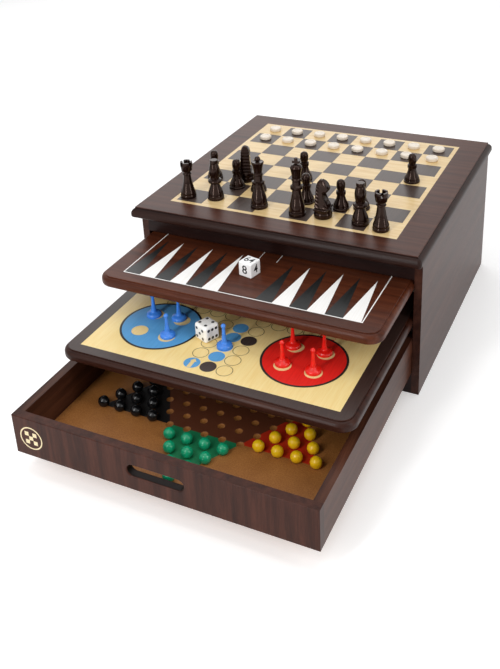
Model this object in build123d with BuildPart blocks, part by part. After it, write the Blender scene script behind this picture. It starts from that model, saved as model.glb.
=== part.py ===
from build123d import *
import os
from math import sqrt

os.makedirs("parts", exist_ok=True)

# Games compendium box: a case with a moulded chessboard top, two sliding board trays
# and a drawer whose floor is a star board. Millimetres, +Z up, -Y is the front.
# The origin is the middle of the case's footprint, on the surface it stands on.
# The trays and the drawer are drawn out, as they are while the box is in use.

# ---------------------------------------------------------------- driving dimensions
# case
case_width = 322.0
case_depth = 298.0
panel_thickness = 8.0
back_thickness = 5.0
back_rabbet = 4.0
base_thickness = 6.0
bottom_rail_height = 24.5
bottom_rail_depth = 14.0
top_rail_height = 22.5
top_rail_depth = 12.0
back_rail_height = 17.5
back_rail_depth = 12.0
drawer_runner_width = 14.0
strip_width = 8.0
strip_setback = 12.0
keeper_height = 6.0
keeper_setback = 34.0

# top slab and its chessboard
slab_width = 328.0
slab_depth = 323.0
slab_thickness = 12.0
slab_front_overhang = 18.0
slab_corner_radius = 3.0
slab_edge_inset = 4.5
slab_edge_step = 1.6
slab_edge_radius = 6.0
slab_foot_radius = 2.4
step_soften = 0.5
board_size = 260.0
board_border = 5.0
board_squares = 8
sheet_thickness = 0.6

# trays
tray_thickness = 11.0
tray_corner_radius = 16.0
tray_edge_inset = 4.2
tray_edge_step = 1.1
tray_edge_radius = 3.9
tray_foot_radius = 2.8
tray_side_clearance = 0.5
tray_back_clearance = 0.5
slide_clearance = 0.3
backgammon_pulled = 106.5
ludo_pulled = 179.0
ludo_headroom = 32.0
backgammon_headroom = 1.5
ludo_margin = 15.5
ludo_side_margin = 16.5
ludo_field_depth = 237.0

# drawer
drawer_height = 42.5
drawer_headroom = 12.7
drawer_front_thickness = 9.0
drawer_side_thickness = 9.0
drawer_back_thickness = 6.0
drawer_edge_round = 0.6
drawer_pulled = 254.0
drawer_floor_thickness = 3.2
drawer_floor_rabbet = 4.0
drawer_floor_recess = 1.5
slot_length = 57.0
slot_height = 12.0
slot_round = 1.5
drawer_dowel_diameter = 4.0

# star board in the drawer's floor and its marbles
hole_pitch = 18.9
star_offset_x = 1.9
star_offset_y = 1.7
dimple_radius = 4.0
dimple_depth = 1.2
marble_radius = 5.75
marble_rest_gap = 0.02
half_star_rows = [1, 2, 3, 4, 13, 12, 11, 10]
middle_row = 9
home_rows = 4

# playing pieces
king_height = 65.0
king_base = 18.6
queen_height = 59.2
queen_base = 19.1
bishop_height = 46.4
bishop_base = 18.6
bishop_slit_tilt = 32.0
knight_height = 43.5
knight_base = 19.8
rook_height = 42.4
rook_base = 17.6
rook_notch_turns = (45.0, 135.0)
pawn_height = 34.2
pawn_base = 18.2
disc_diameter = 14.6
disc_thickness = 4.6
disc_edge = 1.0
disc_dish = 0.5
disc_rim = 2.0
ludo_pawn_height = 26.0
ludo_pawn_base = 15.4
ludo_row_inset = 14.6
home_offset_x = 78.3
home_offset_y = 60.2
spot_offset = 15.6
ludo_centre_pitch = 17.3
die_size = 18.0
die_round = 2.9
die_turn = -24.0
die_x = -24.4
die_reach = 106.4
pip_diameter = 3.2
pip_depth = 0.4
pip_spacing = 4.5
cube_size = 16.0
cube_round = 1.3
cube_turn = -12.8
cube_x = -5.4
cube_reach = 45.0

# fasteners
dowel_diameter = 6.0
dowel_length = 26.0
dowel_in_panel = 6.0
dowel_inset = 5.5
dowel_clearance = 0.1
screw_diameter = 3.5
screw_length = 24.0
screw_head_diameter = 7.0
screw_head_height = 2.4
screw_spread = 100.0
screw_counterbore = 5.0
brad_diameter = 1.4
brad_length = 14.0
brad_head_diameter = 2.8
brad_head_height = 0.6
tack_diameter = 2.2
tack_length = 3.6
tack_inset = 3.0

# ---------------------------------------------------------------- derived places
inner_width = case_width - 2 * panel_thickness
inner_half = inner_width / 2
front = -case_depth / 2
back = case_depth / 2
back_inside = back - back_thickness
tray_width = inner_width - 2 * tray_side_clearance
tray_depth = case_depth - back_thickness - tray_back_clearance

drawer_z = bottom_rail_height + slide_clearance
drawer_top = drawer_z + drawer_height
ludo_z = drawer_top + drawer_headroom
ludo_top = ludo_z + tray_thickness
backgammon_z = ludo_top + ludo_headroom
backgammon_top = backgammon_z + tray_thickness
top_rail_z = backgammon_top + backgammon_headroom
case_height = top_rail_z + top_rail_height
top_z = case_height + slab_thickness
panel_mid_x = inner_half + panel_thickness / 2


def block(x0, x1, y0, y1, z0, z1):
    """A plain bar between two corners, joined to the part being built."""
    with Locations(((x0 + x1) / 2, (y0 + y1) / 2, (z0 + z1) / 2)):
        return Box(x1 - x0, y1 - y0, z1 - z0)


def save(part, name):
    """Label a finished piece and write it as parts/name.step."""
    part.label = name
    export_step(part, f"parts/{name}.step")


# ---------------------------------------------------------------- case carcase
rail_dowels = [
    # (y, z) of the dowels that hold each rail between the side panels
    (front + bottom_rail_depth / 2, dowel_inset),
    (front + bottom_rail_depth / 2, bottom_rail_height - dowel_inset),
    (front + top_rail_depth / 2, top_rail_z + dowel_inset),
    (front + top_rail_depth / 2, case_height - dowel_inset),
    (back_inside - back_rail_depth / 2, case_height - back_rail_height + dowel_inset),
    (back_inside - back_rail_depth / 2, case_height - dowel_inset),
]
dowel_hole = (dowel_diameter + dowel_clearance) / 2


def dowel_bores(side, points, x_face, depth):
    """Blind holes along X from x_face, running in the direction of side (+1 or -1)."""
    spots = [(x_face + side * depth / 2, y, z) for y, z in points]
    with Locations(*spots):
        Cylinder(dowel_hole, depth, rotation=(0, 90, 0), mode=Mode.SUBTRACT)


dowel_in_rail = dowel_length - dowel_in_panel
brad_x = inner_half + back_rabbet / 2
brad_heights = [0.12, 0.38, 0.62, 0.88]
brad_points = [(side * brad_x, case_height * h) for side in (-1, 1) for h in brad_heights]
brad_points += [(side * inner_half / 2, case_height - back_rail_height / 2) for side in (-1, 1)]
brad_points += [(side * inner_half / 2, base_thickness / 2) for side in (-1, 1)]


def brad_bores(points):
    """Holes for the brads, along Y through the back panel and into the piece before it."""
    with Locations(*[(x, back - brad_length / 2, z) for x, z in points]):
        Cylinder(brad_diameter / 2, brad_length, rotation=(90, 0, 0), mode=Mode.SUBTRACT)


for side, name in ((-1, "side_panel_left"), (1, "side_panel_right")):
    with BuildPart() as side_panel:
        block(
            panel_mid_x * side - panel_thickness / 2,
            panel_mid_x * side + panel_thickness / 2,
            front, back, 0, case_height,
        )
        rabbet_mid = side * (inner_half + back_rabbet / 2)
        with Locations((rabbet_mid, back - back_thickness / 2, case_height / 2)):
            Box(back_rabbet, back_thickness, case_height, mode=Mode.SUBTRACT)
        dowel_bores(side, rail_dowels, side * inner_half, dowel_in_panel)
        brad_bores([p for p in brad_points if p[0] * side > inner_half])
    save(side_panel.part, name)

with BuildPart() as back_panel:
    back_half = inner_half + back_rabbet
    block(-back_half, back_half, back_inside, back, 0, case_height)
    brad_bores(brad_points)
    head_middle = back - brad_head_height / 2
    with Locations(*[(x, head_middle, z) for x, z in brad_points]):
        Cylinder(
            brad_head_diameter / 2, brad_head_height, rotation=(90, 0, 0), mode=Mode.SUBTRACT
        )
save(back_panel.part, "back_panel")

with BuildPart() as base_board:
    block(
        -inner_half, inner_half, front + bottom_rail_depth, back_inside, 0, base_thickness
    )
    brad_bores([p for p in brad_points if p[1] < base_thickness])
save(base_board.part, "base_board")

tack_z = bottom_rail_height - tack_inset
tack_spots = [
    (side * (inner_half - tack_inset), front + tack_length / 2, tack_z) for side in (-1, 1)
]


with BuildPart() as bottom_rail:
    block(-inner_half, inner_half, front, front + bottom_rail_depth, 0, bottom_rail_height)
    for side in (-1, 1):
        dowel_bores(-side, rail_dowels[:2], side * inner_half, dowel_in_rail)
    with Locations(*tack_spots):
        Cylinder(tack_diameter / 2, tack_length, rotation=(90, 0, 0), mode=Mode.SUBTRACT)
save(bottom_rail.part, "bottom_rail")

screw_spots_front = [(side * screw_spread, front + top_rail_depth / 2) for side in (-1, 1)]
screw_spots_back = [
    (side * screw_spread, back_inside - back_rail_depth / 2) for side in (-1, 1)
]
front_screw_z = top_rail_z + screw_counterbore
back_screw_z = case_height - back_rail_height


def screw_bores(spots, z_from, z_to, radius):
    """Round holes along Z at the given spots."""
    with Locations(*[(x, y, (z_from + z_to) / 2) for x, y in spots]):
        Cylinder(radius, z_to - z_from, mode=Mode.SUBTRACT)


with BuildPart() as top_rail:
    block(-inner_half, inner_half, front, front + top_rail_depth, top_rail_z, case_height)
    for side in (-1, 1):
        dowel_bores(-side, rail_dowels[2:4], side * inner_half, dowel_in_rail)
    head_top = front_screw_z + screw_head_height
    screw_bores(screw_spots_front, top_rail_z, head_top, screw_head_diameter / 2)
    screw_bores(screw_spots_front, head_top, case_height, screw_diameter / 2)
save(top_rail.part, "top_rail")

with BuildPart() as top_back_rail:
    block(
        -inner_half, inner_half, back_inside - back_rail_depth, back_inside,
        back_screw_z, case_height,
    )
    for side in (-1, 1):
        dowel_bores(-side, rail_dowels[4:], side * inner_half, dowel_in_rail)
    head_top = back_screw_z + screw_head_height
    screw_bores(screw_spots_back, back_screw_z, head_top, screw_head_diameter / 2)
    screw_bores(screw_spots_back, head_top, case_height, screw_diameter / 2)
    brad_bores([p for p in brad_points if abs(p[0]) < inner_half and p[1] > base_thickness])
save(top_back_rail.part, "top_back_rail")

# wooden strips that carry and keep the trays and the drawer, glued to the side panels
strips = {
    # name: (width, bottom, top, start behind the case's front)
    "drawer_runner": (
        drawer_runner_width, base_thickness, bottom_rail_height, bottom_rail_depth
    ),
    "ludo_runner": (strip_width, drawer_top + slide_clearance, ludo_z - slide_clearance,
                    strip_setback),
    "ludo_keeper": (strip_width, ludo_top + slide_clearance,
                    ludo_top + slide_clearance + keeper_height, keeper_setback),
    "backgammon_runner": (strip_width, backgammon_z - slide_clearance - strip_width,
                          backgammon_z - slide_clearance, strip_setback),
    "backgammon_keeper": (strip_width, backgammon_top + slide_clearance,
                          backgammon_top + slide_clearance + keeper_height, keeper_setback),
}
for strip, (width, z0, z1, setback) in strips.items():
    for side, hand in ((-1, "left"), (1, "right")):
        x_wall = side * inner_half
        x_free = side * (inner_half - width)
        with BuildPart() as strip_part:
            block(
                min(x_wall, x_free), max(x_wall, x_free),
                front + setback, back_inside, z0, z1,
            )
        save(strip_part.part, f"{strip}_{hand}")

# ---------------------------------------------------------------- top slab and chessboard
slab_front = front - slab_front_overhang
slab_mid_y = slab_front + slab_depth / 2
board_z = top_z - sheet_thickness


def moulded_edges(face_edges, radius):
    """Round the given edges with the moulding's radius."""
    fillet(face_edges, radius)


with BuildPart() as top_slab:
    body_height = slab_thickness - slab_edge_step
    with BuildSketch(Plane.XY.offset(case_height)):
        with Locations((0, slab_mid_y)):
            RectangleRounded(slab_width, slab_depth, slab_corner_radius)
    extrude(amount=body_height)
    moulded_edges(top_slab.faces().sort_by(Axis.Z)[-1].edges(), slab_edge_radius)
    moulded_edges(top_slab.faces().sort_by(Axis.Z)[0].edges(), slab_foot_radius)
    with BuildSketch(Plane.XY.offset(case_height + body_height)):
        with Locations((0, slab_mid_y)):
            Rectangle(slab_width - 2 * slab_edge_inset, slab_depth - 2 * slab_edge_inset)
    extrude(amount=slab_edge_step)
    moulded_edges(top_slab.faces().sort_by(Axis.Z)[-1].edges(), step_soften)
    with BuildSketch(Plane.XY.offset(board_z)):
        with Locations((0, slab_mid_y)):
            Rectangle(board_size, board_size)
    extrude(amount=sheet_thickness, mode=Mode.SUBTRACT)
    front_tip = front_screw_z + screw_length
    back_tip = back_screw_z + screw_length
    screw_bores(screw_spots_front, case_height, front_tip, screw_diameter / 2)
    screw_bores(screw_spots_back, case_height, back_tip, screw_diameter / 2)
save(top_slab.part, "top_slab")

with BuildPart() as chessboard_sheet:
    with BuildSketch(Plane.XY.offset(board_z)):
        with Locations((0, slab_mid_y)):
            Rectangle(board_size, board_size)
    extrude(amount=sheet_thickness)
save(chessboard_sheet.part, "chessboard_sheet")

# ---------------------------------------------------------------- case fasteners
with BuildPart() as case_dowels:
    for side in (-1, 1):
        x_mid = side * (inner_half + dowel_in_panel - dowel_length / 2)
        with Locations(*[(x_mid, y, z) for y, z in rail_dowels]):
            Cylinder(dowel_diameter / 2, dowel_length, rotation=(0, 90, 0))
save(case_dowels.part, "case_dowels")

with BuildPart() as rail_tacks:
    tack_radius = (tack_diameter - dowel_clearance) / 2
    with Locations(*tack_spots):
        Cylinder(tack_radius, tack_length, rotation=(90, 0, 0))
save(rail_tacks.part, "rail_tacks")

with BuildPart() as slab_screw:
    with BuildSketch(Plane.XZ):
        head = screw_head_diameter / 2
        shank = (screw_diameter - dowel_clearance) / 2
        with BuildLine():
            Polyline(
                (0, 0), (head - dowel_clearance, 0), (shank, screw_head_height),
                (shank, screw_length - screw_diameter), (0, screw_length), close=True,
            )
        make_face()
    revolve(axis=Axis.Z)

with BuildPart() as slab_screws:
    with Locations(*[(x, y, front_screw_z) for x, y in screw_spots_front]):
        add(slab_screw.part)
    with Locations(*[(x, y, back_screw_z) for x, y in screw_spots_back]):
        add(slab_screw.part)
save(slab_screws.part, "slab_screws")

with BuildPart() as back_panel_brads:
    with Locations(*[(x, back - brad_length / 2, z) for x, z in brad_points]):
        Cylinder((brad_diameter - dowel_clearance) / 2, brad_length, rotation=(90, 0, 0))
    with Locations(*[(x, back - brad_head_height / 2, z) for x, z in brad_points]):
        Cylinder(
            (brad_head_diameter - dowel_clearance) / 2, brad_head_height, rotation=(90, 0, 0)
        )
save(back_panel_brads.part, "back_panel_brads")


# ---------------------------------------------------------------- sliding trays
def tray_outline(pulled, inset):
    """A tray's plan: square at the back, rounded at the two front corners."""
    y_front = front - pulled + inset
    y_back = front - pulled + tray_depth
    half = tray_width / 2 - inset
    with Locations((0, (y_front + y_back) / 2)):
        outline = Rectangle(2 * half, y_back - y_front)
    fillet(outline.vertices().group_by(Axis.Y)[0], tray_corner_radius - inset)


def edge_run(faces):
    """Every edge of a tray's top or bottom face but the straight one along its back."""
    return faces.edges().sort_by(Axis.Y)[:-1]


def moulded_tray(pulled, z0):
    """The tray's board with its stepped, rounded edge on three sides, in the open builder."""
    with BuildSketch(Plane.XY.offset(z0)) as plan:
        tray_outline(pulled, 0)
    plate = extrude(plan.sketch, amount=tray_thickness - tray_edge_step)
    fillet(edge_run(plate.faces().sort_by(Axis.Z)[-1]), tray_edge_radius)
    fillet(edge_run(plate.faces().sort_by(Axis.Z)[0]), tray_foot_radius)
    with BuildSketch(Plane.XY.offset(z0 + tray_thickness - tray_edge_step)) as upper:
        tray_outline(pulled, tray_edge_inset)
    extrude(upper.sketch, amount=tray_edge_step)


with BuildPart() as backgammon_tray:
    moulded_tray(backgammon_pulled, backgammon_z)
    fillet(edge_run(backgammon_tray.faces().sort_by(Axis.Z)[-1]), step_soften)
save(backgammon_tray.part, "backgammon_tray")

ludo_field_y = front - ludo_pulled + ludo_margin + ludo_field_depth / 2
ludo_field_width = tray_width - 2 * ludo_side_margin


def ludo_field(mode):
    """The printed sheet's block, let into the tray's top."""
    with Locations((0, ludo_field_y, ludo_top - sheet_thickness / 2)):
        Box(ludo_field_width, ludo_field_depth, sheet_thickness, mode=mode)


with BuildPart() as ludo_tray:
    moulded_tray(ludo_pulled, ludo_z)
    fillet(edge_run(ludo_tray.faces().sort_by(Axis.Z)[-1]), step_soften)
    ludo_field(Mode.SUBTRACT)
save(ludo_tray.part, "ludo_tray")

with BuildPart() as ludo_sheet:
    ludo_field(Mode.ADD)
save(ludo_sheet.part, "ludo_sheet")

# ---------------------------------------------------------------- drawer
drawer_front_y = front - drawer_pulled
drawer_back_y = drawer_front_y + tray_depth
drawer_half = tray_width / 2
wall_front_y = drawer_front_y + drawer_front_thickness
wall_back_y = drawer_back_y - drawer_back_thickness
inside_half = drawer_half - drawer_side_thickness
floor_z = drawer_z + drawer_floor_recess
floor_top = floor_z + drawer_floor_thickness
slot_z = drawer_z + drawer_height / 2
floor_front = wall_front_y - drawer_floor_rabbet
floor_back = wall_back_y + drawer_floor_rabbet
floor_half = inside_half + drawer_floor_rabbet

side_mid = drawer_half - drawer_side_thickness / 2
front_dowel_heights = [floor_top + dowel_inset, drawer_top - dowel_inset]
dowel_in_front = drawer_front_thickness - (panel_thickness - dowel_in_panel)
front_dowel_y = wall_front_y - dowel_in_front + dowel_length / 2
back_mid_y = drawer_back_y - drawer_back_thickness / 2
dowel_in_side = drawer_side_thickness - (panel_thickness - dowel_in_panel)
drawer_dowel_hole = (drawer_dowel_diameter + dowel_clearance) / 2


def cut_floor_rabbet():
    """Take the floor's seat out of the lower inside edge of a drawer wall."""
    x_size, y_size = 2 * floor_half, floor_back - floor_front
    with Locations((0, (floor_front + floor_back) / 2, (drawer_z + floor_top) / 2)):
        Box(x_size, y_size, floor_top - drawer_z, mode=Mode.SUBTRACT)


def side_end_bores():
    """Dowel holes along Y where the drawer's front meets its sides."""
    spots = [(s * side_mid, front_dowel_y, z) for s in (-1, 1) for z in front_dowel_heights]
    with Locations(*spots):
        Cylinder(drawer_dowel_hole, dowel_length, rotation=(90, 0, 0), mode=Mode.SUBTRACT)


def back_end_bores():
    """Dowel holes along X where the drawer's sides meet its back."""
    for side in (-1, 1):
        x_mid = side * (inside_half + dowel_in_side - dowel_length / 2)
        with Locations(*[(x_mid, back_mid_y, z) for z in front_dowel_heights]):
            Cylinder(drawer_dowel_hole, dowel_length, rotation=(0, 90, 0), mode=Mode.SUBTRACT)


with BuildPart() as drawer_front:
    block(-drawer_half, drawer_half, drawer_front_y, wall_front_y, drawer_z, drawer_top)
    fillet(drawer_front.faces().sort_by(Axis.Y)[0].edges(), drawer_edge_round)
    with BuildSketch(Plane.XZ.offset(-drawer_front_y)):
        with Locations((0, slot_z)):
            SlotOverall(slot_length, slot_height)
    extrude(amount=-drawer_front_thickness, mode=Mode.SUBTRACT)
    slot_faces = [drawer_front.faces().sort_by(Axis.Y)[k] for k in (0, -1)]
    fillet([face.inner_wires()[0].edges() for face in slot_faces], slot_round)
    cut_floor_rabbet()
    side_end_bores()
save(drawer_front.part, "drawer_front")

for side, name in ((-1, "drawer_side_left"), (1, "drawer_side_right")):
    with BuildPart() as drawer_side:
        block(
            side * side_mid - drawer_side_thickness / 2,
            side * side_mid + drawer_side_thickness / 2,
            wall_front_y, drawer_back_y, drawer_z, drawer_top,
        )
        cut_floor_rabbet()
        side_end_bores()
        back_end_bores()
    save(drawer_side.part, name)

with BuildPart() as drawer_back:
    block(-inside_half, inside_half, wall_back_y, drawer_back_y, drawer_z, drawer_top)
    cut_floor_rabbet()
    back_end_bores()
save(drawer_back.part, "drawer_back")

with BuildPart() as drawer_dowels:
    spots = [(s * side_mid, front_dowel_y, z) for s in (-1, 1) for z in front_dowel_heights]
    with Locations(*spots):
        Cylinder(drawer_dowel_diameter / 2, dowel_length, rotation=(90, 0, 0))
    for side in (-1, 1):
        x_mid = side * (inside_half + dowel_in_side - dowel_length / 2)
        with Locations(*[(x_mid, back_mid_y, z) for z in front_dowel_heights]):
            Cylinder(drawer_dowel_diameter / 2, dowel_length, rotation=(0, 90, 0))
save(drawer_dowels.part, "drawer_dowels")

# ---------------------------------------------------------------- star board and marbles
star_y = (wall_front_y + wall_back_y) / 2 + star_offset_y
row_pitch = hole_pitch * sqrt(3) / 2
row_counts = half_star_rows + [middle_row] + half_star_rows[::-1]
star_reach = len(half_star_rows)


def star_row(row):
    """X and Y of the holes in one row of the star, row 0 being its front tip."""
    count = row_counts[row]
    y = star_y + (row - star_reach) * row_pitch
    return [(star_offset_x + (k - (count - 1) / 2) * hole_pitch, y) for k in range(count)]


star_holes = [hole for row in range(len(row_counts)) for hole in star_row(row)]
front_rows = range(home_rows)
back_rows = range(len(row_counts) - home_rows, len(row_counts))
low_rows = range(home_rows, star_reach)
high_rows = range(star_reach + 1, len(row_counts) - home_rows)


def wing_count(row):
    """How many holes of a wide row belong to each side point of the star."""
    return row_counts[row] - middle_row


homes = {
    "marbles_green": [h for r in front_rows for h in star_row(r)],
    "marbles_red": [h for r in back_rows for h in star_row(r)],
    "marbles_black": [h for r in low_rows for h in star_row(r)[: wing_count(r)]],
    "marbles_yellow": [h for r in low_rows for h in star_row(r)[-wing_count(r):]],
    "marbles_white": [h for r in high_rows for h in star_row(r)[: wing_count(r)]],
    "marbles_blue": [h for r in high_rows for h in star_row(r)[-wing_count(r):]],
}
dimple_sphere = (dimple_radius**2 + dimple_depth**2) / (2 * dimple_depth)
marble_z = floor_top - dimple_depth + marble_radius + marble_rest_gap

with BuildPart() as drawer_floor:
    block(-floor_half, floor_half, floor_front, floor_back, floor_z, floor_top)
    dimple_z = floor_top - dimple_depth + dimple_sphere
    with Locations(*[(x, y, dimple_z) for x, y in star_holes]):
        Sphere(dimple_sphere, mode=Mode.SUBTRACT)
save(drawer_floor.part, "drawer_floor")

for name, spots in homes.items():
    with BuildPart() as marbles:
        with Locations(*[(x, y, marble_z) for x, y in spots]):
            Sphere(marble_radius)
    save(marbles.part, name)


# ---------------------------------------------------------------- turned pieces
def turned(profile, radius, height):
    """Revolve runs of points, in shares of radius and height, each a polyline or a spline."""
    with BuildSketch(Plane.XZ) as half:
        with BuildLine():
            start = (0, 0)
            for run, shares in profile:
                points = [start] + [(r * radius, z * height) for r, z in shares]
                run(*points)
                start = points[-1]
            Line(start, (0, 0))
        make_face()
    revolve(half.sketch, axis=Axis.Z)


def foot(top):
    """The plinth that every chessman stands on, up to the height share top."""
    return (Polyline, [
        (0.95, 0.0), (1.0, 0.14 * top), (1.0, 0.5 * top), (0.92, 0.62 * top),
        (0.95, 0.8 * top), (0.92, top),
    ])


pawn_profile = [
    foot(0.12),
    (Spline, [(0.89, 0.17), (0.72, 0.26), (0.54, 0.38), (0.47, 0.49)]),
    (Polyline, [(0.57, 0.51), (0.57, 0.55), (0.51, 0.56), (0.57, 0.57), (0.57, 0.61), (0.41, 0.63)]),
    (Spline, [(0.50, 0.72), (0.52, 0.84), (0.41, 0.95), (0.20, 0.99), (0, 1.0)]),
]
rook_profile = [
    foot(0.11),
    (Spline, [(0.88, 0.19), (0.76, 0.32), (0.62, 0.45), (0.52, 0.57), (0.49, 0.66)]),
    (Polyline, [(0.60, 0.68), (0.60, 0.73), (0.53, 0.75)]),
    (Spline, [(0.60, 0.80), (0.71, 0.85), (0.78, 0.91)]),
    (Polyline, [(0.79, 1.0), (0.56, 1.0), (0.56, 0.90), (0, 0.90)]),
]
bishop_profile = [
    foot(0.12),
    (Spline, [(0.88, 0.17), (0.72, 0.27), (0.55, 0.36), (0.50, 0.40)]),
    (Spline, [(0.75, 0.43), (0.83, 0.465), (0.75, 0.50)]),
    (Polyline, [(0.54, 0.52), (0.54, 0.57)]),
    (Spline, [(0.62, 0.65), (0.65, 0.72), (0.58, 0.83), (0.46, 0.91)]),
    (Polyline, [(0.49, 0.93), (0.49, 0.985), (0.43, 1.0), (0, 1.0)]),
]
queen_profile = [
    foot(0.10),
    (Spline, [(0.88, 0.16), (0.72, 0.28), (0.54, 0.40), (0.49, 0.46)]),
    (Polyline, [(0.72, 0.475), (0.72, 0.515), (0.50, 0.53), (0.46, 0.63)]),
    (Polyline, [(0.55, 0.645), (0.55, 0.67), (0.46, 0.685)]),
    (Spline, [(0.52, 0.76), (0.62, 0.83), (0.73, 0.89)]),
    (Polyline, [(0.62, 0.90), (0.30, 0.89), (0.14, 0.91), (0.14, 0.94), (0, 0.94)]),
]
queen_ball = 0.33 * queen_base / 2
king_profile = [
    foot(0.10),
    (Spline, [(0.88, 0.15), (0.73, 0.25), (0.56, 0.37), (0.50, 0.45)]),
    (Polyline, [(0.72, 0.47), (0.72, 0.51), (0.50, 0.535), (0.48, 0.60)]),
    (Polyline, [(0.56, 0.615), (0.56, 0.635), (0.49, 0.65)]),
    (Spline, [(0.52, 0.70), (0.60, 0.77), (0.71, 0.835)]),
    (Spline, [(0.56, 0.87), (0.28, 0.89)]),
    (Polyline, [(0, 0.895)]),
]

with BuildPart() as pawn:
    turned(pawn_profile, pawn_base / 2, pawn_height)

with BuildPart() as rook:
    turned(rook_profile, rook_base / 2, rook_height)
    turret_floor = 0.90 * rook_height
    turret_wall = 0.22 * rook_base
    with Locations((0, 0, (turret_floor + rook_height) / 2)):
        for turn in rook_notch_turns:
            Box(
                rook_base, turret_wall, rook_height - turret_floor,
                rotation=(0, 0, turn), mode=Mode.SUBTRACT,
            )

with BuildPart() as bishop:
    turned(bishop_profile, bishop_base / 2, bishop_height)
    slit_width = 0.08 * bishop_base
    slit_centre = (0.27 * bishop_base, 0, 0.82 * bishop_height)
    with Locations(Location(slit_centre, (0, bishop_slit_tilt, 0))):
        Box(slit_width, bishop_base, 0.20 * bishop_height, mode=Mode.SUBTRACT)

with BuildPart() as queen:
    turned(queen_profile, queen_base / 2, queen_height)
    with Locations((0, 0, queen_height - queen_ball)):
        Sphere(queen_ball)
    with Locations((0, 0, 0.90 * queen_height)):
        with PolarLocations(0.40 * queen_base, 8):
            Sphere(0.09 * queen_base, mode=Mode.SUBTRACT)

cross_width = 0.42 * king_base
cross_bar = 0.15 * king_base
cross_foot = 0.885 * king_height
cross_arm_z = king_height - 0.6 * (king_height - cross_foot)
with BuildPart() as king:
    turned(king_profile, king_base / 2, king_height)
    with Locations((0, 0, (cross_foot + king_height) / 2)):
        Box(cross_bar, cross_bar, king_height - cross_foot)
    with Locations((0, 0, cross_arm_z)):
        Box(cross_width, cross_bar, cross_bar)

knight_plinth = [foot(0.24), (Polyline, [(0.80, 0.27), (0, 0.27)])]
# the horse's head: shares of the base radius and of the height, nose to +X
knight_mane = [(-0.78, 0.22), (-0.76, 0.36), (-0.70, 0.58), (-0.62, 0.78), (-0.44, 0.93), (-0.20, 0.99)]
knight_ear = [(-0.06, 0.97), (0.04, 1.0), (0.14, 0.97)]
knight_face = [(0.36, 0.93), (0.56, 0.85), (0.70, 0.76)]
knight_jaw = [(0.66, 0.70), (0.50, 0.67), (0.30, 0.69), (0.17, 0.65)]
knight_chest = [(0.22, 0.56), (0.44, 0.44), (0.68, 0.33), (0.80, 0.22)]
# the same head from the front, narrow at the ears
knight_width = [
    (-0.66, 0.30), (-0.58, 0.55), (-0.52, 0.75), (-0.36, 0.94), (0, 1.0),
    (0.36, 0.94), (0.52, 0.75), (0.58, 0.55), (0.66, 0.30),
]


def knight_points(shares):
    """Profile points of the knight in millimetres."""
    return [(x * knight_base / 2, z * knight_height) for x, z in shares]


with BuildPart() as knight:
    turned(knight_plinth, knight_base / 2, knight_height)
    with BuildSketch(Plane.XZ):
        with BuildLine():
            mane = Spline(*knight_points(knight_mane))
            ear = Polyline(mane @ 1, *knight_points(knight_ear))
            nose = Spline(ear @ 1, *knight_points(knight_face))
            jaw = Polyline(nose @ 1, *knight_points(knight_jaw))
            chest = Spline(jaw @ 1, *knight_points(knight_chest))
            Line(chest @ 1, mane @ 0)
        make_face()
    extrude(amount=knight_base / 2, both=True)
    # round the head towards the ears, leaving the plinth whole
    with BuildSketch(Plane.YZ):
        with BuildLine():
            crest = Spline(*knight_points(knight_width))
            right = Polyline(crest @ 1, *knight_points([(0.66, 0.27), (1.0, 0.27), (1.0, 0)]))
            left = Polyline(crest @ 0, *knight_points([(-0.66, 0.27), (-1.0, 0.27), (-1.0, 0)]))
            Line(left @ 1, right @ 1)
        make_face()
    extrude(amount=knight_base, both=True, mode=Mode.INTERSECT)

# ---------------------------------------------------------------- men on the chessboard
square = (board_size - 2 * board_border) / board_squares
board_front = slab_mid_y - board_size / 2 + board_border


def square_centre(file, rank):
    """Centre of a square: file 0 is the left column, rank 0 the front row."""
    x = (file + 0.5) * square - (board_size - 2 * board_border) / 2
    return (x, board_front + (rank + 0.5) * square, top_z)


chess_layout = {
    # piece: [(file, rank, turn about its own axis), ...], as the men were set down by hand
    "chess_king": (king, [(4.0, -0.1, 0)]),
    "chess_queen": (queen, [(2.53, 0.0, 0)]),
    "chess_bishops": (bishop, [(0.78, 0.09, 100), (6.22, -0.01, 100)]),
    "chess_knights": (knight, [(4.88, 0.05, 0), (1.1, 1.92, 110)]),
    "chess_rooks": (rook, [(-0.22, -0.12, 0), (6.99, -0.2, 0)]),
    "chess_pawns": (pawn, [
        (-0.11, 1.73, 0), (1.06, 1.24, 0), (1.93, 1.22, 0), (3.92, 0.92, 0),
        (5.23, 0.84, 0), (5.88, 1.09, 0), (3.1, 2.73, 0), (6.84, 3.84, 0),
    ]),
}
for name, (man, places) in chess_layout.items():
    spots = [Location(square_centre(f, r), (0, 0, turn)) for f, r, turn in places]
    with BuildPart() as men:
        with Locations(*spots):
            add(man.part)
    save(men.part, name)

disc_ranks = (board_squares - 2, board_squares - 1)
with BuildPart() as draughtsman:
    with BuildSketch(Plane.XZ):
        edge = disc_diameter / 2
        with BuildLine():
            Polyline(
                (0, 0), (edge - disc_edge, 0), (edge, disc_edge),
                (edge, disc_thickness - disc_edge), (edge - disc_edge, disc_thickness),
                (edge - disc_edge - disc_rim, disc_thickness),
                (edge - disc_edge - disc_rim - disc_dish, disc_thickness - disc_dish),
                (0, disc_thickness - disc_dish), close=True,
            )
        make_face()
    revolve(axis=Axis.Z)

with BuildPart() as draughtsmen:
    with Locations(*[square_centre(f, r) for f in range(board_squares) for r in disc_ranks]):
        add(draughtsman.part)
save(draughtsmen.part, "draughtsmen")

# ---------------------------------------------------------------- men on the ludo board
ludo_front_row = front - ludo_pulled + ludo_margin + ludo_row_inset
ludo_centre_y = ludo_front_row + 6 * ludo_centre_pitch

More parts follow.
